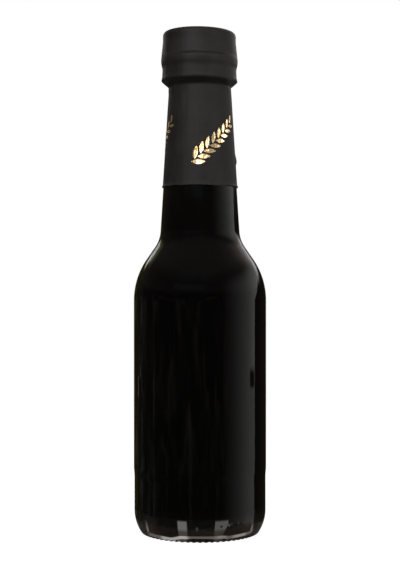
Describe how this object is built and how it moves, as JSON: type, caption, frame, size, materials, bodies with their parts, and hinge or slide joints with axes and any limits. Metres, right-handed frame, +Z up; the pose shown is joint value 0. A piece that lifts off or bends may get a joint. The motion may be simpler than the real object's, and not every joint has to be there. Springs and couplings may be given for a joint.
{
  "type": "balsamic vinegar bottle",
  "caption": "Round clear glass bottle of dark vinegar with a long tapered neck, shut by a cap under a matt black film sleeve that reaches down the neck.",
  "frame": {"origin": "middle of the bottle's foot, on the surface that it stands on", "axes": "+Z up along the bottle's axis of turning, X and Y level; -Y faces the viewer"},
  "size_m": [0.0552, 0.0552, 0.2085],
  "materials": {
    "clear_glass": "clear polished glass with a trace of grey green",
    "dark_vinegar": "near black brown liquid, clear only at its thinnest edges",
    "cap_plastic": "plain black moulded plastic, hidden under the film",
    "black_film": "matt black shrunk film with soft folds",
    "gold_foil": "thin stamped gold foil ornament on the film"
  },
  "bodies": {
    "root": {"bottle": "clear_glass", "vinegar": "dark_vinegar", "cap": "cap_plastic", "sleeve": "black_film"}
  },
  "joints": []
}
